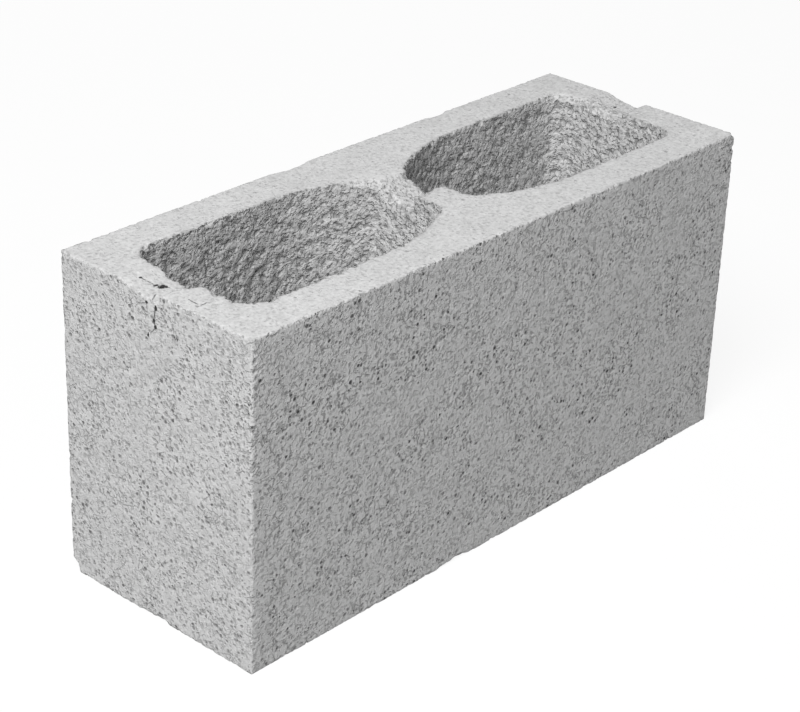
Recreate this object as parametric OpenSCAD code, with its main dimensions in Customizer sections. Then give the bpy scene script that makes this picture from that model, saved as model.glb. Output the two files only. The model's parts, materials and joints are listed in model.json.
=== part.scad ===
// Hollow concrete block with two cells, stood the way it left the mould:
// the cells are widest at the top, and the core bars have left marks across the cross walls.
// X runs along the block, Y across it, Z up. The origin is the middle of the lower bed face.

/* [Block] */
// Length over the two end faces
block_l = 390; // [290:10:490]
// Width over the two side faces
block_w = 140; // [120:10:240]
// Height from bed face to bed face
block_h = 190; // [90:10:240]
// Radius of the four upright edges
arris_r = 1; // [0.5:0.5:5]

/* [Walls at the upper bed face] */
// Thickness of the long walls
face_shell = 26; // [20:1:34]
// Thickness of the walls across the two ends
end_web = 24; // [18:1:36]
// Thickness of the wall between the two cells
centre_web = 23; // [18:1:40]

/* [Cells] */
// How much thicker every wall grows from the upper bed face to the lower one, on each side of it
core_taper = 4; // [1:0.5:5]
// Radius of the cell corners beside the end walls
end_corner_r = 14; // [10:1:24]
// Radius of the cell corners beside the centre wall
web_corner_r = 6; // [5.5:0.5:14]
// Length over which a cell narrows towards the centre wall
flare_l = 66; // [45:1:76]
// How far each side of a cell comes in over that length, taken to the sharp corner
flare_d = 20; // [12:1:24]

/* [Core bar marks] */
// How far the steep side of the marks stands in front of the middle of the block
mark_front = 4.5; // [0:0.5:10]
// Width of the marks, from the steep side to where their floor comes up to the bed face
mark_w = 28; // [20:1:36]
// Depth of the mark across the top of the centre wall
centre_mark_d = 10; // [4:0.5:14]
// Depth of the marks across the tops of the end walls
end_mark_d = 4; // [1:0.5:8]

/* [Hidden] */
concrete_grey = [0.71, 0.71, 0.70];

// Steps in which a quarter turn of a cell corner is drawn
corner_steps = 10;
// Steps in which a cell side curves in towards the centre wall
flare_steps = 10;
// Thickness of the slices that a cell is stretched between
slice_t = 0.01;
// How far a cutting shape runs past the face that it cuts
overrun = 2;
$fn = 64;

// Plan of one cell, on the +X side of the centre wall, at the upper bed face
cell_x0 = centre_web / 2;
cell_x1 = block_l / 2 - end_web;
cell_half_w = block_w / 2 - face_shell;

// The side of the cell is straight from the end wall to flare_x, and from there it follows
// an arc that would reach the centre wall flare_d further in
flare_x = cell_x0 + flare_l;
flare_r = (flare_l * flare_l + flare_d * flare_d) / (2 * flare_d);
flare_y = cell_half_w - flare_r;

// The small corner touches the flare arc and the centre wall
web_corner_x = cell_x0 + web_corner_r;
web_corner_y = flare_y + sqrt(pow(flare_r - web_corner_r, 2) - pow(flare_x - web_corner_x, 2));
meet_angle = atan2(web_corner_y - flare_y, web_corner_x - flare_x);

end_corner_x = cell_x1 - end_corner_r;
end_corner_y = cell_half_w - end_corner_r;

// Points on an arc about c, from angle a0 to a1
function arc(c, r, a0, a1, steps) =
    [for (i = [0:steps]) let (a = a0 + (a1 - a0) * i / steps) c + r * [cos(a), sin(a)]];

// The half of a cell's plan on the +Y side, from the end wall round to the centre wall.
// All walls stand inset further in, so every arc keeps its centre and loses that much radius.
function half_outline(inset) = concat(
    arc([end_corner_x, end_corner_y], end_corner_r - inset, 0, 90, corner_steps),
    arc([flare_x, flare_y], flare_r - inset, 90, meet_angle, flare_steps),
    arc([web_corner_x, web_corner_y], web_corner_r - inset, meet_angle, 180, corner_steps));

module cell_slice(z, inset) {
    translate([0, 0, z])
        linear_extrude(slice_t)
            for (side = [0, 1])
                mirror([0, side, 0])
                    polygon(concat(half_outline(inset), [[cell_x0 + inset, 0], [cell_x1 - inset, 0]]));
}

// One drafted cell, stretched from the wide plan at the top to the narrow one at the bottom
module cell() {
    draft = core_taper / block_h;
    hull() {
        cell_slice(block_h + overrun, -draft * overrun);
        cell_slice(-overrun - slice_t, core_taper + draft * overrun);
    }
}

// Mark of a core bar across a wall centred at x: a step down at the front,
// and a floor that curves up from the foot of the step to the bed face behind
module bar_mark(x, wall, depth) {
    r = (mark_w * mark_w + depth * depth) / (2 * depth);
    length = wall + 2 * overrun;
    translate([x - length / 2, -mark_front, block_h - depth])
        intersection() {
            translate([0, 0, r])
                rotate([0, 90, 0])
                    cylinder(h = length, r = r);
            cube([length, mark_w + overrun, depth + overrun]);
        }
}

// Outside of the block, with its upright edges rounded
module body() {
    linear_extrude(block_h) {
        square([block_l - 2 * arris_r, block_w], center = true);
        square([block_l, block_w - 2 * arris_r], center = true);
        for (x = [-1, 1], y = [-1, 1])
            translate([x * (block_l / 2 - arris_r), y * (block_w / 2 - arris_r)])
                circle(arris_r);
    }
}

module block() {
    color(concrete_grey)
        difference() {
            body();
            for (side = [0, 1])
                mirror([side, 0, 0]) {
                    cell();
                    bar_mark(block_l / 2 - end_web / 2, end_web, end_mark_d);
                }
            bar_mark(0, centre_web, centre_mark_d);
        }
}

block();
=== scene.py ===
"""Looks of a hollow concrete block: its knocked edges, its open-textured faces and a plain stage."""
import json
import math
import random

import bpy
from bpy.props import FloatProperty, FloatVectorProperty, IntProperty, PointerProperty
from bpy.types import Operator, Panel, PropertyGroup
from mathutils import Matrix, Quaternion, Vector

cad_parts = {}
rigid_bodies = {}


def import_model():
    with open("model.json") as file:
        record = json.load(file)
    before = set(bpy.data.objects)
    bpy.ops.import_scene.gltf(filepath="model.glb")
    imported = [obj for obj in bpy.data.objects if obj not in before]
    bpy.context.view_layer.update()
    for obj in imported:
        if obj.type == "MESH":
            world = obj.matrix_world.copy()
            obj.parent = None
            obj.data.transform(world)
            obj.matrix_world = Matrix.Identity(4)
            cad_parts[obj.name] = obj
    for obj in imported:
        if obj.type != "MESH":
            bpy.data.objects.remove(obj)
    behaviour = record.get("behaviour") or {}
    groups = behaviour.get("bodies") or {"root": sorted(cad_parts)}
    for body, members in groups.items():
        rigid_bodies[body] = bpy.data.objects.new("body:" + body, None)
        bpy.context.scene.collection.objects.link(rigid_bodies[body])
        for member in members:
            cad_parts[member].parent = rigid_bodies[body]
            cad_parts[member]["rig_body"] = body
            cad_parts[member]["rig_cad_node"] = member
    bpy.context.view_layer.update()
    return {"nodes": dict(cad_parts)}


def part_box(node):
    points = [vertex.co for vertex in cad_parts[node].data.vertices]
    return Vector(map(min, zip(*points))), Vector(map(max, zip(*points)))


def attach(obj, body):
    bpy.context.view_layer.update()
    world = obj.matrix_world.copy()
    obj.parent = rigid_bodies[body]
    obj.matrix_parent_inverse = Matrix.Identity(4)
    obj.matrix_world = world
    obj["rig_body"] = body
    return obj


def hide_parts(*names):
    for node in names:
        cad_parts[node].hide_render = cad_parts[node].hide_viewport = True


bl_info = {
    "name": "Concrete Block",
    "version": (1, 0, 0),
    "blender": (4, 5, 0),
    "location": "View3D > Sidebar > Concrete Block",
    "description": "Knocks, roughens and finishes a moulded concrete block and sets a stage for it",
    "category": "Object",
}

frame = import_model()

# Sizes of the block; all lengths up to the stage are in millimetres
MM = 0.001
LOW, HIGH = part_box("block")
MIDDLE = tuple((LOW + HIGH) / 2 / MM)
HALF_SIZE = tuple((HIGH - LOW) / 2 / MM)
HALF_LENGTH, HALF_WIDTH = HALF_SIZE[:2]

# Corners of the solid's triangles that are closer than this are one
WELD = 0.01

# Zones that the relief stores on the mesh, for the thinning and for the finish
THIN_SHARE = "thin_share"
BED_SHARE = "bed_share"
CELL_SHARE = "cell_share"
# Rims of the cells, which the finish dims with painted shade
RIM_SHADE_SHARE = "rim_shade_share"

# Chips that the block has lost: centre and half sizes
CHIPS = [
    ((-36, -70.5, 0), (8, 2.5, 2.6)),
    ((-46, -70.5, 0), (9, 2, 1.4)),
    ((-195.5, -1, 0), (2.5, 7, 2.6)),
    ((-195.5, 9, 0), (2, 7, 1.6)),
    ((-195, 70, 0), (6, 6, 7)),
    ((196, -71, 191), (4.5, 4.5, 4)),
    ((196, -71, 181.5), (3.4, 3.4, 2.4)),
    ((-32, 71, 191), (16, 4, 2.8)),
    ((88, 71, 191), (10, 4, 2.4)),
    ((-173, -3, 190.5), (7, 6, 4.8)),
    ((-170, -21, 190.5), (5, 4, 2.2)),
]

# Holes where grains have fallen out beside the cracks: centre and half sizes
HOLES = [
    ((-182, 8, 184), (1.7, 1.2, 6)),
    ((-180.5, 6.5, 185), (0.8, 0.9, 4)),
    ((-184, 10.5, 186), (1.4, 0.7, 3)),
    ((-186, 19.5, 188.5), (0.9, 0.6, 2)),
    ((-194, 4.5, 184), (3, 0.9, 0.7)),
    ((-194, -2.2, 183), (3, 0.9, 1.2)),
    ((-194, -0.6, 175.8), (2.6, 0.8, 0.8)),
    ((-194, -1.6, 172.5), (2.6, 0.9, 1)),
    ((-194, 3.9, 166.7), (2.2, 0.5, 1.2)),
    ((184, 10, 185), (1, 0.8, 4)),
]

# Cracks: how much a move along each axis counts as distance, and a line of points
DOWNWARD = (1, 1, 0.25)
LENGTHWISE = (0.25, 1, 1)
CRACKS = [
    (DOWNWARD, [(-174, 2, 186), (-179, 4, 186), (-182, 8, 186.5), (-184, 11, 187), (-186, 19.5, 189)]),
    (DOWNWARD, [(-182, 8, 186.5), (-188, 5, 186.5), (-195, 1, 186)]),
    (LENGTHWISE, [(-195, 1, 186), (-195, -2, 184), (-195, -0.6, 176), (-195, -1.5, 172), (-195, 4, 166)]),
    (DOWNWARD, [(-187, -17, 190), (-188, -26, 190), (-181.5, -25.7, 190), (-175, -23.5, 190)]),
    (DOWNWARD, [(195, 14, 187), (190, 12, 186.5), (184, 10, 186)]),
]

# Balls that are cut out along the cracks: step, half size and how much it swells, stray and seed
CRACK_STEP = 1.2
CRACK_HALF = 0.5
CRACK_SWELL = (0.8, 1.6)
CRACK_STRAY = 0.4
CRACK_SEED = 4

# Balls with a half size over this are cut finer; roughness is a share of the least half size
LARGE_BALL = 4
LARGE_BALL_CUTS = 3
SMALL_BALL_CUTS = 2
BALL_ROUGHNESS = 0.14

# Rims that are worn round: centre and reach; then how far they wear, and the share worn in full
WORN_RIMS = [
    ((-13, 20, 190), 22),
    ((168, 24, 190), 26),
]
WORN_RIM_PULL = 1.2
WORN_RIM_CORE = 0.6

# Stretches of the upper bed that are torn open: centre and reach; then how far, and the share torn in full
TORN_BEDS = [
    ((-6, 6, 182), 22),
    ((178, 8, 187), 24),
]
TORN_BED_SHARE = 0.7
TORN_BED_CORE = 0.5

# Clouds: their size, how many finer clouds are laid over them, and how strong those are
STIR = (2.2, 1.0, 0.6)
TEARS = (4.6, 2.0, 0.6)
NIBBLES = (3.0, 3.0, 0.6)
BITES = (12.0, 4.0, 0.6)
ROLLS = (9.0, 3.0, 0.6)
SWELLS = (20.0, 3.0, 0.5)
WAVES = (55.0, 3.0, 0.45)
RIPPLES = (7.0, 3.0, 0.55)
PATCHES = (6.0, 1.0, 0.5)
MOTTLE = (28.0, 2.0, 0.6)
SAND = (2.0, 2.0, 0.7)
PORES = (2.2, 1.0, 0.6)

# Middle value of a cloud
EVEN = 0.5

# Values of a cloud at which a mark starts and at which it is full
NIBBLED = (0.50, 0.64)
BITTEN = (0.54, 0.70)
TORN = (0.52, 0.34)
POROUS = (0.54, 0.70)
GAPPED = (0.50, 0.60)
BEADED = (0.56, 0.42)
MOTTLED = (0.40, 0.60)
PATCHED = (0.5, 0.7)
CRACKED = (0.42, 0.56)

# Pits: how far apart, and their least and greatest radius as a share of that
LARGE_PITS = (4.2, 0.10, 0.48)
SMALL_PITS = (2.6, 0.20, 0.64)
NOTCHES = (5.5, 0.2, 0.7)

# Share of a pit's radius with a level floor, and depth of the shallowest pit
PIT_FLOOR = 0.3
PIT_LEAST = 0.3

# A pit in an outer face keeps its width down to this depth
SNAP_DEPTH = 0.4
SNAP_GROWTH = tuple(1 + SNAP_DEPTH / half for half in HALF_SIZE)

# How far behind the outer faces the zone of the cells starts and is full
CELL_ZONE = (8, 16)

# Slope of a bed face at which it starts to count as one, and at which it does in full
BED_SLOPE = (0.72, 0.96)
BED_BLUR = 2

# Length of the averaged normal at which a corner starts, and at which it is full
CORNER_TURN = (0.97, 0.85)
CORNER_BLUR = 8

# Wear: how many mesh steps it reaches, and how strong it is on outer edges and on the rims of the cells
NIBBLE_REACH, NIBBLE_PULL = 7, (0.6, 1.8)
NOTCH_REACH, NOTCH_PULL = 24, (0.4, 1.4)
BITE_REACH, BITE_PULL = 40, (0.3, 0.9)

# How far a corner stands out where it wears in full
CORNER_RISE = 0.15

# Relief of the cell walls, as shares of its depth
ROLL_HEIGHT = 0.4
TEAR_DEPTH = 0.8

# Relief of the outer faces and of the upper bed: height, and the cloud value that stays level
SWELL_HEIGHT, SWELL_LEVEL = 0.35, 0.6
RIPPLE_HEIGHT, BED_LEVEL = 0.5, 0.55

# Thinning: how much corners are spared, and how much that counts
CORNER_SPARED = 0.8
THIN_FACTOR = 0.02

# Grains in the finish: size, and the places in a grain where the gaps round it, which get painted shade,
# start and are full
GAP_GRAIN, GAP_EDGE = 4.6, (0.10, 0.02)
BEAD_GRAIN, BEAD_EDGE = 2.5, (0.48, 0.72)

# How far each mark opens the surface, from 0 where it is flush to 1 where it is deep; the finish sinks the
# bump that far and darkens it with painted shade for the hollow
FACE_GAPS, FACE_PORES = 0.4, 0.4
CELL_TEARS, CELL_BEADS, CELL_PITS, CELL_PORES = 0.25, 0.6, 0.4, 0.5
BED_PITS, BED_SMALL_PITS, BED_PORES = 0.6, 0.2, 0.2

# How much of that shows on the outer faces: where they are close and where open, on an end and on a side; the
# side's larger share deepens the bump and darkens the pits with painted shade, for the shadows that grazing
# key light throws in them
FACE_MOTTLE = (0.75, 1.25)
FACE_SIDE_PITS_AND_SHADE = (0.78, 1.06)

# How far behind the side faces their zone starts and is full
SIDE_ZONE = (4, 1)

# How strongly each mark shades the paste: the cells' paler tone is painted light that lifts the shade inside
# them, the rims' darker tone is painted shade where they catch the key light, and the gaps and cracks are
# covered with painted shade
SAND_TONE, MOTTLE_TONE, PATCH_TONE = 0.65, 0.16, 0.24
CELL_PAINTED_LIGHT, BED_PALER, RIM_PAINTED_SHADE = 0.03, 0.04, 0.2
GAP_SHADE_COVER, CRACK_SHADE_COVER = 0.85, 0.95

# Distance from the lines of the cracks at which their painted shade starts and is full, and how dark it gets
CRACK_EDGE, CRACK_DARK = (0.6, 0.15), 0.8

# The same for a hole, in its own half sizes
HOLE_EDGE = (1.35, 1.05)

# Fine relief in the finish: depth, and the heights of its sand and beads as shares of it
BUMP_DEPTH = 1.0
SAND_HEIGHT, CELL_SAND, BED_SAND = 0.7, 0.1, 0.5
BEAD_HEIGHT = 0.35

CONCRETE_ROUGHNESS = 0.95
CONCRETE_SPECULAR = 0.2

# Stage, in metres; each softbox has its place and its width
SOFTBOXES = {
    "key": ((-1.94, -0.86, 2.63), 2.0),
    "fill": ((0.55, -0.9, 0.7), 0.6),
    "back": ((1.3, 1.7, 0.5), 1.0),
}
SOFTBOX_AIM = (0, 0, 0.1)
CAMERA_PLACE = (-0.8376, -0.7392, 0.6575)
CAMERA_AIM = (-0.0082, 0.0044, 0.0882)
FLOOR_RADIUS = 4.0
FLOOR_SIDES = 96

# Tone of the floor to the camera, and how much of it glows, so that only a faint shadow is left
FLOOR_TONE = 0.95
FLOOR_GLOW = 0.88
WHITE = (1, 1, 1, 1)


class Value:
    """A number or vector in a node tree; arithmetic on it adds Math nodes."""

    def __init__(self, graph, socket):
        self.graph = graph
        self.socket = socket

    def also(self, out):
        """Another output of the node that this value comes from."""
        return Value(self.graph, self.socket.node.outputs[out])

    def math(self, operation, *terms):
        return self.graph.node("ShaderNodeMath", {"operation": operation}, dict(enumerate(terms)))

    def __add__(self, other):
        return self.math("ADD", self, other)

    def __radd__(self, other):
        return self.math("ADD", other, self)

    def __sub__(self, other):
        return self.math("SUBTRACT", self, other)

    def __rsub__(self, other):
        return self.math("SUBTRACT", other, self)

    def __mul__(self, other):
        return self.math("MULTIPLY", self, other)

    def __rmul__(self, other):
        return self.math("MULTIPLY", other, self)

    def __abs__(self):
        return self.math("ABSOLUTE", self)

    def at_most(self, other):
        return self.math("MINIMUM", self, other)

    def at_least(self, other):
        return self.math("MAXIMUM", self, other)


class Graph:
    """A node tree of a material, a world or a modifier, with short ways to add nodes to it."""

    def __init__(self, tree):
        self.tree = tree

    def node(self, kind, settings=None, sockets=None, out=None):
        """Adds a node, sets it up, fills its sockets and returns its output, if it has one, as a Value."""
        made = self.tree.nodes.new(kind)
        for name, setting in (settings or {}).items():
            setattr(made, name, setting)
        for name, value in (sockets or {}).items():
            self.feed(made.inputs[name], value)
        outputs = [s for s in made.outputs if s.enabled]
        if not outputs:
            return None
        return Value(self, made.outputs[out] if out is not None else outputs[0])

    def feed(self, socket, value):
        """Links a Value to a socket, or sets the socket to a number, a vector or a colour."""
        if isinstance(value, Value):
            self.tree.links.new(value.socket, socket)
        else:
            socket.default_value = value

    def ramp(self, value, low, high):
        """0 where value is at low, 1 where it is at high, and smooth between."""
        return self.node("ShaderNodeMapRange", {"interpolation_type": "SMOOTHSTEP"},
                         {"Value": value, "From Min": low, "From Max": high})

    def noise(self, place, size, detail, rough, out="Fac"):
        """Clouds about size wide, from 0 to 1."""
        sockets = {"Vector": place, "Scale": 1 / size, "Detail": detail, "Roughness": rough}
        return self.node("ShaderNodeTexNoise", {}, sockets, out)

    def grains(self, place, size, feature="F1"):
        """How far a place is from the middle, or from the edge, of packed grains about size across."""
        return self.node("ShaderNodeTexVoronoi", {"feature": feature},
                         {"Vector": place, "Scale": 1 / size}, "Distance")

    def vector(self, operation, a, b):
        """A vector found from two vectors, or from a vector and a scale."""
        sockets = {0: a, "Scale": b} if operation == "SCALE" else {0: a, 1: b}
        return self.node("ShaderNodeVectorMath", {"operation": operation}, sockets)

    def measure(self, operation, a, b=(0, 0, 0)):
        """A number found from two vectors, such as their distance."""
        return self.node("ShaderNodeVectorMath", {"operation": operation}, {0: a, 1: b}, "Value")

    def split(self, place):
        """The three numbers of a vector."""
        first = self.node("ShaderNodeSeparateXYZ", {}, {0: place})
        return first, first.also("Y"), first.also("Z")

    def mix(self, weight, a, b):
        """Colour a where weight is 0, and b where it is 1."""
        return self.node("ShaderNodeMix", {"data_type": "RGBA"}, {0: weight, 6: a, 7: b}, 2)

    def blur(self, value, steps):
        """A vector averaged over the mesh, over that many steps of it."""
        return self.node("GeometryNodeBlurAttribute", {"data_type": "FLOAT_VECTOR"},
                         {"Value": value, "Iterations": steps, "Weight": 1.0})

    def store(self, shape, name, share):
        """Stores how much of a zone each place is on the mesh."""
        return self.node("GeometryNodeStoreNamedAttribute", {"data_type": "FLOAT", "domain": "POINT"},
                         {"Geometry": shape, "Name": name, "Value": share})

    def stored(self, name):
        """How much of a zone a place is, as the relief has stored it."""
        return self.node("ShaderNodeAttribute", {"attribute_name": name}, out="Fac")


class BlockSettings(PropertyGroup):
    """Shape of the finished block."""

    voxel: FloatProperty(name="Remesh step", description="Step of the mesh that the relief is raised on",
                         default=0.8 * MM, unit="LENGTH")
    triangles: IntProperty(name="Triangles", description="Triangles in the finished block", default=198000)
    lump_depth: FloatProperty(name="Lumps", description="Height of the grains on the cell walls",
                              default=0.9 * MM, unit="LENGTH")
    pit_depth: FloatProperty(name="Pits", description="Depth of the pits in the outer faces",
                             default=0.7 * MM, unit="LENGTH")
    wave_depth: FloatProperty(name="Waves", description="Unevenness of the upper bed face",
                              default=0.7 * MM, unit="LENGTH")


class ConcreteSettings(PropertyGroup):
    """Colours of the concrete, and of the painted shade in its gaps and cracks."""

    paste: FloatVectorProperty(name="Paste", description="Colour of the flush cement paste",
                               subtype="COLOR", size=3, default=(0.56, 0.56, 0.56))
    # Painted shade deep in the gaps, pits and pores
    gap: FloatVectorProperty(name="Gaps", description="Colour deep in the gaps between grains",
                             subtype="COLOR", size=3, default=(0.07, 0.07, 0.07))
    # Painted shade deep in the cracks and their holes
    crack_shade: FloatVectorProperty(name="Cracks", description="Colour deep in the cracks and their holes",
                               subtype="COLOR", size=3, default=(0.02, 0.02, 0.02))


class StageSettings(PropertyGroup):
    """Camera, floor and lights."""

    lens: FloatProperty(name="Lens", description="Focal length of the camera", default=99.8, unit="CAMERA")
    roll: FloatProperty(name="Roll", description="Turn of the camera about its own view",
                        default=math.radians(2.1), subtype="ANGLE")
    key_power: FloatProperty(name="Key light", description="Power of the main softbox",
                             default=139.0, unit="POWER")
    fill_power: FloatProperty(name="Fill light", description="Power of the small softbox in front",
                              default=0.8, unit="POWER")
    back_power: FloatProperty(name="Back light", description="Power of the softbox behind the block",
                              default=9.0, unit="POWER")
    sky: FloatProperty(name="Sky", description="Strength of the even light from all round",
                       default=0.10, subtype="FACTOR", min=0, max=1)
    bounce: FloatProperty(name="Floor bounce", description="How much light the floor throws back",
                          default=0.5, subtype="FACTOR", min=0, max=1)


def select_only(obj):
    """Leaves edit mode, and makes obj the one selected and active object."""
    if bpy.context.mode != "OBJECT":
        bpy.ops.object.mode_set(mode="OBJECT")
    bpy.ops.object.select_all(action="DESELECT")
    obj.select_set(True)
    bpy.context.view_layer.objects.active = obj


def apply_modifier(obj, kind, name, **settings):
    """Adds a modifier, sets it up and applies it."""
    select_only(obj)
    made = obj.modifiers.new(name, kind)
    for key, setting in settings.items():
        setattr(made, key, setting)
    bpy.ops.object.modifier_apply(modifier=made.name)


def copy_of_solid():
    """The CAD block as a new object, with its loose triangles merged."""
    select_only(frame["nodes"]["block"])
    bpy.ops.object.duplicate()
    block = bpy.context.active_object
    block.name = block.data.name = "moulded_block"
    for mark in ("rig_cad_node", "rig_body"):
        del block[mark]
    bpy.ops.object.parent_clear(type="CLEAR_KEEP_TRANSFORM")
    block.data.materials.clear()
    bpy.ops.object.mode_set(mode="EDIT")
    bpy.ops.mesh.select_all(action="SELECT")
    bpy.ops.mesh.remove_doubles(threshold=WELD * MM)
    bpy.ops.object.mode_set(mode="OBJECT")
    return block


def along(points, step):
    """Points about step apart on a line of points."""
    for start, end in zip(points, points[1:]):
        start, end = Vector(start), Vector(end)
        count = max(1, round((end - start).length / step))
        for i in range(count):
            yield start.lerp(end, i / count)


def rough_balls(name, balls):
    """An object of rough balls, each given by its centre and half sizes."""
    bpy.ops.object.select_all(action="DESELECT")
    bpy.ops.mesh.primitive_ico_sphere_add(subdivisions=1, radius=MM)
    made = bpy.context.active_object
    made.name = name
    bpy.ops.object.mode_set(mode="EDIT")
    bpy.ops.mesh.select_all(action="SELECT")
    bpy.ops.mesh.delete(type="VERT")
    for seed, (centre, half) in enumerate(balls):
        place = Vector(centre) * MM
        cuts = LARGE_BALL_CUTS if max(half) > LARGE_BALL else SMALL_BALL_CUTS
        bpy.ops.mesh.primitive_ico_sphere_add(subdivisions=cuts, radius=MM, location=place)
        bpy.ops.transform.resize(value=half, center_override=place)
        bpy.ops.transform.vertex_random(offset=BALL_ROUGHNESS * min(half) * MM, seed=seed)
    bpy.ops.object.mode_set(mode="OBJECT")
    return made


def crack_balls():
    """The holes, and balls strung along the cracks."""
    draw = random.Random(CRACK_SEED)
    balls = list(HOLES)
    for _, line in CRACKS:
        for place in along(line, CRACK_STEP):
            stray = Vector([draw.uniform(-CRACK_STRAY, CRACK_STRAY) for axis in "xyz"])
            half = [CRACK_HALF * draw.uniform(*CRACK_SWELL) for axis in "xyz"]
            balls.append((place + stray, half))
    return balls


def cut_away(block, name, balls):
    """Takes rough balls out of the block."""
    cutter = rough_balls(name, balls)
    apply_modifier(block, "BOOLEAN", name, object=cutter, operation="DIFFERENCE",
                   solver="EXACT", use_self=True)
    bpy.data.objects.remove(cutter)


def from_to(ends, share):
    """The first of two ends where share is 0, and the second where it is 1."""
    return ends[0] + (ends[1] - ends[0]) * share


def close_to(g, p, centre, reach, core):
    """1 within the core of a reach round a centre, falling to 0 at the whole reach."""
    return g.ramp(g.measure("DISTANCE", p, centre), reach, core * reach)


def flush_place(g, p):
    """Places with those close behind an outer face moved out to it, so that a pit keeps its width."""
    grown = g.vector("MULTIPLY", g.vector("SUBTRACT", p, MIDDLE), SNAP_GROWTH)
    held = g.vector("MAXIMUM", g.vector("MINIMUM", grown, HALF_SIZE), tuple(-h for h in HALF_SIZE))
    return g.vector("ADD", held, MIDDLE)


def stirred(g, p):
    """Places pushed about at random, by up to half a millimetre, so that what is drawn on them is crooked."""
    push = g.vector("SUBTRACT", g.noise(p, *STIR, "Color"), (EVEN, EVEN, EVEN))
    return g.vector("ADD", p, push)


def pits_between(g, p, size, least, most):
    """Pits between grains about size apart: 0 where the face is flush, and up to 1 deep in a pit."""
    far = g.grains(p, size)
    wide, deep, _ = g.split(far.also("Color"))
    radius = least + (most - least) * wide * wide
    return g.ramp(far, radius, PIT_FLOOR * radius) * from_to((PIT_LEAST, 1), deep)


def near_line(g, p, start, end):
    """How far a place is from a straight line between two points."""
    way = Vector(end) - Vector(start)
    gone = g.vector("SUBTRACT", p, start)
    share = g.measure("DOT_PRODUCT", gone, tuple(way / way.length_squared)).at_least(0).at_most(1)
    return g.measure("DISTANCE", gone, g.vector("SCALE", tuple(way), share))


def painted_shade_of_cracks(g, crooked, clouds):
    """How much painted shade a place gets: 1 deep in the cracks and in the holes beside them, and 0 away from
    them.
    """
    near = None
    for squash, line in CRACKS:
        flat = g.vector("MULTIPLY", crooked, squash)
        points = [tuple(a * b for a, b in zip(point, squash)) for point in line]
        for start, end in zip(points, points[1:]):
            far = near_line(g, flat, start, end)
            near = near.at_most(far) if near else far
    dark = CRACK_DARK * g.ramp(near, *CRACK_EDGE) * g.ramp(clouds, *CRACKED)
    for centre, half in HOLES:
        shrunk = g.vector("DIVIDE", g.vector("SUBTRACT", crooked, centre), half)
        dark = dark.at_least(g.ramp(g.measure("LENGTH", shrunk), *HOLE_EDGE))
    return dark


def behind(g, place, half, zone):
    """0 where a zone behind a face starts and 1 where it is full; half is how far out the face is."""
    return g.ramp(abs(place), *(half - depth for depth in zone))


def cell_zone(g, p):
    """1 inside the cells and on the webs, 0 on the outer faces."""
    x, y, _ = g.split(p)
    return behind(g, y, HALF_WIDTH, CELL_ZONE) * behind(g, x, HALF_LENGTH, CELL_ZONE)


def mesh_place(g):
    """Places on the mesh, in millimetres."""
    return g.vector("SCALE", g.node("GeometryNodeInputPosition"), 1 / MM)


def pulled_in(g, reach, amount):
    """A move towards the middle of the places around, on corners that stand out."""
    position = g.node("GeometryNodeInputPosition")
    normal = g.node("GeometryNodeInputNormal")
    way = g.vector("SUBTRACT", g.blur(position, reach), position)
    inward = g.measure("DOT_PRODUCT", way, normal)
    return g.vector("SCALE", way, amount * g.ramp(inward, 0.0, -CORNER_RISE * MM))


def wear_edges(g, shape):
    """Crumbles the corners that stand out, most along the rims of the cells."""
    p = mesh_place(g)
    rim = cell_zone(g, p)
    nibbles = from_to(NIBBLE_PULL, rim) * g.ramp(g.noise(p, *NIBBLES), *NIBBLED)
    notches = from_to(NOTCH_PULL, rim) * pits_between(g, p, *NOTCHES)
    bites = from_to(BITE_PULL, rim) * g.ramp(g.noise(p, *BITES), *BITTEN)
    for centre, reach in WORN_RIMS:
        bites = bites.at_least(WORN_RIM_PULL * close_to(g, p, centre, reach, WORN_RIM_CORE))
    move = g.vector("ADD", pulled_in(g, NIBBLE_REACH, nibbles), pulled_in(g, NOTCH_REACH, notches))
    move = g.vector("ADD", move, pulled_in(g, BITE_REACH, bites))
    return g.node("GeometryNodeSetPosition", {}, {"Geometry": shape, "Offset": move})


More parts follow.
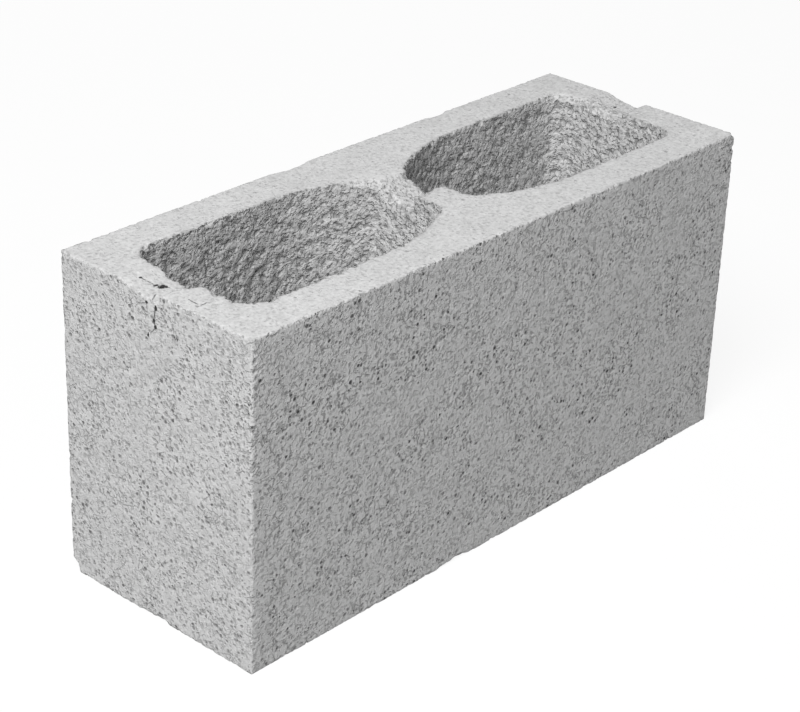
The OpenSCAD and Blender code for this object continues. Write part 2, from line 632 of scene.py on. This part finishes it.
def raise_relief(block, settings):
    """Wears the edges, marks the bed faces and the cell walls, and raises the grain."""
    tree = bpy.data.node_groups.new("block_relief", "GeometryNodeTree")
    for way in ("INPUT", "OUTPUT"):
        tree.interface.new_socket("Geometry", in_out=way, socket_type="NodeSocketGeometry")
    g = Graph(tree)
    shape = wear_edges(g, g.node("NodeGroupInput"))

    # Zones: the upper bed, the cell walls, the outer faces and the corners
    normal = g.node("GeometryNodeInputNormal")
    p = mesh_place(g)
    webs = cell_zone(g, p)
    slope = g.split(g.blur(normal, BED_BLUR))[2]
    bed = g.ramp(slope, *BED_SLOPE)
    for centre, reach in TORN_BEDS:
        bed = bed * (1 - TORN_BED_SHARE * close_to(g, p, centre, reach, TORN_BED_CORE))
    least, most = BED_SLOPE
    cell = webs * (1 - bed) * g.ramp(slope, -most, -least)
    face = (1 - cell) * (1 - bed)
    corner = g.ramp(g.measure("LENGTH", g.blur(normal, CORNER_BLUR)), *CORNER_TURN)
    for name, share in ((BED_SHARE, bed), (CELL_SHARE, cell), (THIN_SHARE, 1 - CORNER_SPARED * corner),
                        (RIM_SHADE_SHARE, corner * webs)):
        shape = g.store(shape, name, share)

    # Relief of each zone
    pits = pits_between(g, stirred(g, flush_place(g, p)), *LARGE_PITS)
    rolls = g.noise(p, *ROLLS) - EVEN
    tears = g.ramp(g.noise(p, *TEARS), *TORN)
    cell_relief = (ROLL_HEIGHT * rolls - TEAR_DEPTH * tears) * (settings.lump_depth / MM)
    swells = (g.noise(p, *SWELLS) - SWELL_LEVEL) * SWELL_HEIGHT
    face_relief = pits * (-settings.pit_depth / MM) + swells
    waves = (g.noise(p, *WAVES) - BED_LEVEL) * (settings.wave_depth / MM)
    bed_relief = waves + (g.noise(p, *RIPPLES) - BED_LEVEL) * RIPPLE_HEIGHT
    rise = cell * cell_relief + face * face_relief + bed * bed_relief
    move = g.vector("SCALE", normal, rise * MM)
    shape = g.node("GeometryNodeSetPosition", {}, {"Geometry": shape, "Offset": move})
    g.node("NodeGroupOutput", {}, {0: shape})
    block.vertex_groups.new(name=THIN_SHARE)
    apply_modifier(block, "NODES", "relief", node_group=tree)


def thin(block, triangles):
    """Keeps the triangles where the relief needs them, most along the edges."""
    count = sum(len(f.vertices) - 2 for f in block.data.polygons)
    apply_modifier(block, "DECIMATE", "thin", ratio=min(1.0, triangles / count),
                   use_collapse_triangulate=True, vertex_group=THIN_SHARE, vertex_group_factor=THIN_FACTOR)
    block.vertex_groups.clear()


def concrete_material(settings):
    """Pale grey concrete: flush grains with dark pits and gaps between them, whose dark is painted shade; the
    cracks and the cell rims get painted shade too, and the cells painted light.
    """
    material = bpy.data.materials.new("open_textured_concrete")
    material.use_nodes = True
    g = Graph(material.node_tree)
    p = g.vector("SCALE", g.node("ShaderNodeTexCoord", out="Object"), 1 / MM)
    top = g.stored(BED_SHARE)
    cell = g.stored(CELL_SHARE)
    # Rims of the cells, dimmed with painted shade where they catch the key light
    rim = g.stored(RIM_SHADE_SHARE)
    face = (1 - cell) * (1 - top)

    # Marks
    crooked = stirred(g, flush_place(g, p))
    clouds = g.noise(p, *TEARS)
    patches = g.noise(p, *PATCHES)
    mottle = g.noise(p, *MOTTLE)
    sand = g.noise(p, *SAND) - EVEN
    pits = pits_between(g, crooked, *LARGE_PITS)
    small_pits = pits_between(g, crooked, *SMALL_PITS)
    pores = g.ramp(g.noise(p, *PORES), *POROUS)
    edge = g.grains(crooked, GAP_GRAIN, "DISTANCE_TO_EDGE")
    gaps = g.ramp(edge, *GAP_EDGE) * g.ramp(clouds, *GAPPED)
    beads = g.grains(crooked, BEAD_GRAIN)
    between = CELL_BEADS * g.ramp(beads, *BEAD_EDGE) * g.ramp(clouds, *BEADED)
    tears = CELL_TEARS * g.ramp(clouds, *TORN)

    # How far the marks open each zone, which sets both their bump depth and their painted shade
    face_open = pits.at_least(small_pits).at_least(FACE_GAPS * gaps).at_least(FACE_PORES * pores)
    # Side faces get deeper pits with more painted shade, for the shadows that grazing key light throws in
    # them
    side = behind(g, g.split(p)[1], HALF_WIDTH, SIDE_ZONE)
    face_open = face_open * from_to(FACE_MOTTLE, g.ramp(mottle, *MOTTLED)) * from_to(FACE_SIDE_PITS_AND_SHADE, side)
    cell_open = tears.at_least(between).at_least(CELL_PITS * small_pits).at_least(CELL_PORES * pores)
    top_open = BED_SMALL_PITS * small_pits + BED_PORES * pores + BED_PITS * pits * g.ramp(patches, *PATCHED)
    opened = face * face_open + cell * cell_open + top * top_open

    # Colour: the paste's own tone, painted light paling the cells, and painted shade on the cell rims and in
    # the gaps, pits and cracks
    shade = 1.0 + SAND_TONE * sand + MOTTLE_TONE * (mottle - EVEN) + PATCH_TONE * top * (patches - EVEN)
    # Painted light pales the cells to lift their shade, and painted shade dims the cell rims where they catch
    # the key light
    shade = shade * (1.0 + CELL_PAINTED_LIGHT * cell + BED_PALER * top - RIM_PAINTED_SHADE * rim)
    paste = g.vector("SCALE", tuple(settings.paste), shade)
    # Painted shade in the gaps, pits and pores, as dark as they are open
    colour = g.mix(opened * GAP_SHADE_COVER, paste, (*settings.gap, 1))
    # Painted shade in the cracks and the holes beside them
    colour = g.mix(painted_shade_of_cracks(g, crooked, clouds) * CRACK_SHADE_COVER, colour, (*settings.crack_shade, 1))

    # Fine relief
    height = (SAND_HEIGHT + CELL_SAND * cell - BED_SAND * top) * sand - opened - BEAD_HEIGHT * cell * beads
    bump = g.node("ShaderNodeBump", {}, {"Strength": 1.0, "Distance": BUMP_DEPTH * MM, "Height": height})

    shader = material.node_tree.nodes["Principled BSDF"]
    for name, value in (("Base Color", colour), ("Roughness", CONCRETE_ROUGHNESS),
                        ("Specular IOR Level", CONCRETE_SPECULAR), ("Normal", bump)):
        g.feed(shader.inputs[name], value)
    return material


class MouldBlock(Operator):
    """Copy the solid block, knock its edges, roughen its faces and finish it in concrete"""

    bl_idname = "concrete_block.mould_block"
    bl_label = "Mould block"

    def execute(self, context):
        settings = context.scene.block_settings
        block = copy_of_solid()
        cut_away(block, "chips", CHIPS)
        cut_away(block, "cracks", crack_balls())
        apply_modifier(block, "REMESH", "even", mode="VOXEL", voxel_size=settings.voxel)
        raise_relief(block, settings)
        thin(block, settings.triangles)
        select_only(block)
        bpy.ops.object.shade_smooth()
        block.data.materials.append(concrete_material(context.scene.concrete_settings))
        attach(block, "root")
        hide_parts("block")
        return {"FINISHED"}


def seen_directly(g):
    """1 for rays from the camera and for those that metal or glass sends on, and 0 for all others."""
    camera = g.node("ShaderNodeLightPath", out="Is Camera Ray")
    return camera.at_least(camera.also("Is Glossy Ray")).at_least(camera.also("Is Transmission Ray"))


class SetStage(Operator):
    """Lay a pale floor, hang the lights and stand the camera"""

    bl_idname = "concrete_block.set_stage"
    bl_label = "Set stage"

    def execute(self, context):
        settings = context.scene.stage_settings
        self.lay_floor(settings)
        self.hang_softboxes(settings)
        self.light_sky(context, settings)
        self.stand_camera(context, settings)
        context.scene.view_settings.view_transform = "Standard"
        return {"FINISHED"}

    def lay_floor(self, settings):
        """A pale floor that shows white to the camera and keeps a faint shadow."""
        bpy.ops.object.select_all(action="DESELECT")
        bpy.ops.mesh.primitive_circle_add(vertices=FLOOR_SIDES, radius=FLOOR_RADIUS, fill_type="NGON")
        floor = bpy.context.active_object
        floor.name = "floor"
        material = bpy.data.materials.new("white_floor")
        material.use_nodes = True
        material.node_tree.nodes.clear()
        g = Graph(material.node_tree)
        seen = seen_directly(g)
        dull, pale = [(tone, tone, tone, 1) for tone in (settings.bounce, FLOOR_TONE)]
        plain = g.node("ShaderNodeBsdfDiffuse", {}, {"Color": g.mix(seen, dull, pale)})
        white = g.node("ShaderNodeEmission", {}, {"Color": WHITE, "Strength": 1.0})
        both = g.node("ShaderNodeMixShader", {}, {0: FLOOR_GLOW * seen, 1: plain, 2: white})
        g.node("ShaderNodeOutputMaterial", {}, {"Surface": both})
        floor.data.materials.append(material)

    def hang_softboxes(self, settings):
        """Round softboxes, turned to the block."""
        powers = {"key": settings.key_power, "fill": settings.fill_power, "back": settings.back_power}
        for name, (place, width) in SOFTBOXES.items():
            bpy.ops.object.light_add(type="AREA", location=place)
            lamp = bpy.context.active_object
            lamp.name = name + "_softbox"
            lamp.data.shape = "DISK"
            lamp.data.size = width
            lamp.data.energy = powers[name]
            look = Vector(SOFTBOX_AIM) - lamp.location
            lamp.rotation_euler = look.to_track_quat("-Z", "Y").to_euler()

    def light_sky(self, context, settings):
        """An even sky that shows white to the camera."""
        world = bpy.data.worlds.new("even_sky")
        world.use_nodes = True
        context.scene.world = world
        g = Graph(world.node_tree)
        shown = world.node_tree.nodes["Background"]
        g.feed(shown.inputs["Color"], WHITE)
        g.feed(shown.inputs["Strength"], from_to((settings.sky, 1), seen_directly(g)))

    def stand_camera(self, context, settings):
        """The camera in the place that the block is seen from."""
        bpy.ops.object.camera_add(location=CAMERA_PLACE)
        camera = bpy.context.active_object
        camera.data.lens = settings.lens
        look = Vector(CAMERA_AIM) - camera.location
        turn = look.to_track_quat("-Z", "Y") @ Quaternion((0, 0, 1), settings.roll)
        camera.rotation_euler = turn.to_euler()
        context.scene.camera = camera


class BlockPanel(Panel):
    """Settings and steps of the concrete block"""

    bl_idname = "VIEW3D_PT_concrete_block"
    bl_label = "Concrete Block"
    bl_space_type = "VIEW_3D"
    bl_region_type = "UI"
    bl_category = "Concrete Block"

    def draw(self, context):
        scene = context.scene
        for owner in (scene.block_settings, scene.concrete_settings, scene.stage_settings):
            for name in owner.bl_rna.properties.keys():
                if name not in ("rna_type", "name"):
                    self.layout.prop(owner, name)
        for step in (MouldBlock, SetStage):
            self.layout.operator(step.bl_idname)


CLASSES = (BlockSettings, ConcreteSettings, StageSettings, MouldBlock, SetStage, BlockPanel)


def register():
    for cls in CLASSES:
        bpy.utils.register_class(cls)
    bpy.types.Scene.block_settings = PointerProperty(type=BlockSettings)
    bpy.types.Scene.concrete_settings = PointerProperty(type=ConcreteSettings)
    bpy.types.Scene.stage_settings = PointerProperty(type=StageSettings)


def unregister():
    del bpy.types.Scene.block_settings
    del bpy.types.Scene.concrete_settings
    del bpy.types.Scene.stage_settings
    for cls in reversed(CLASSES):
        bpy.utils.unregister_class(cls)


def main():
    register()
    bpy.ops.concrete_block.mould_block()
    bpy.ops.concrete_block.set_stage()


if __name__ == "__main__":
    main()
